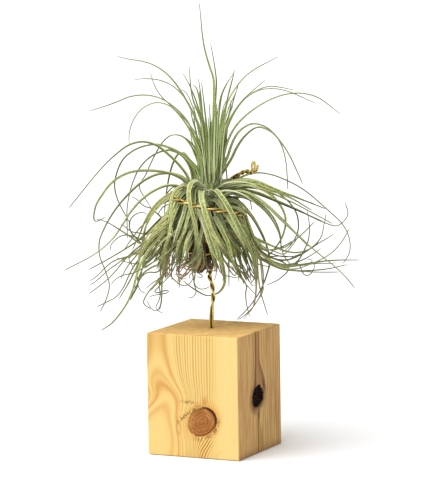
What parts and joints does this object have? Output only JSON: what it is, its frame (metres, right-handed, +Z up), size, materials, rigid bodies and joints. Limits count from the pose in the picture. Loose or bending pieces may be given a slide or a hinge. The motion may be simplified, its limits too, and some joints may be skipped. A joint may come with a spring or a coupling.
{
  "type": "air plant in a wire holder on a wood block",
  "caption": "Thread-leaved air plant with a fountain of arching leaves, held in a twisted brass wire that stands in a knotty pine block.",
  "frame": {"origin": "centre of the flat underside of the wood block", "axes": "+Z up; -Y is the normal of the block's wide front face, the one with the brown knot; +X is the normal of its right-hand face, the one with the dark knot"},
  "size_m": [0.147, 0.1072, 0.2232],
  "materials": {
    "pine": "sanded bare pine, satin",
    "brass_wire": "drawn wire, bright",
    "stem": "dry, fibrous, matt",
    "leaf": "silvery scaled, matt"
  },
  "bodies": {
    "root": {"wood_block": "pine", "holder_wire": "brass_wire", "plant_stem": "stem", "tuft_leaf_01": "leaf", "tuft_leaf_02": "leaf", "tuft_leaf_03": "leaf", "tuft_leaf_04": "leaf", "tuft_leaf_05": "leaf", "tuft_leaf_06": "leaf", "tuft_leaf_07": "leaf", "tuft_leaf_08": "leaf", "tuft_leaf_09": "leaf", "tuft_leaf_10": "leaf", "tuft_leaf_11": "leaf", "tuft_leaf_12": "leaf", "tuft_leaf_13": "leaf", "tuft_leaf_14": "leaf", "tuft_leaf_15": "leaf", "tuft_leaf_16": "leaf", "tuft_leaf_17": "leaf", "tuft_leaf_18": "leaf", "tuft_leaf_19": "leaf", "tuft_leaf_20": "leaf", "tuft_leaf_21": "leaf", "arching_leaf_01": "leaf", "arching_leaf_02": "leaf", "arching_leaf_03": "leaf", "arching_leaf_04": "leaf", "arching_leaf_05": "leaf", "arching_leaf_06": "leaf", "arching_leaf_07": "leaf", "arching_leaf_08": "leaf", "arching_leaf_09": "leaf", "arching_leaf_10": "leaf", "arching_leaf_11": "leaf", "arching_leaf_12": "leaf", "arching_leaf_13": "leaf", "arching_leaf_14": "leaf", "arching_leaf_15": "leaf", "arching_leaf_16": "leaf", "arching_leaf_17": "leaf", "arching_leaf_18": "leaf", "arching_leaf_19": "leaf", "arching_leaf_20": "leaf", "arching_leaf_21": "leaf", "hanging_leaf_01": "leaf", "hanging_leaf_02": "leaf", "hanging_leaf_03": "leaf", "hanging_leaf_04": "leaf", "hanging_leaf_05": "leaf", "hanging_leaf_06": "leaf", "hanging_leaf_07": "leaf", "hanging_leaf_08": "leaf", "hanging_leaf_09": "leaf", "hanging_leaf_10": "leaf", "hanging_leaf_11": "leaf", "hanging_leaf_12": "leaf", "hanging_leaf_13": "leaf", "hanging_leaf_14": "leaf", "hanging_leaf_15": "leaf"}
  },
  "joints": []
}
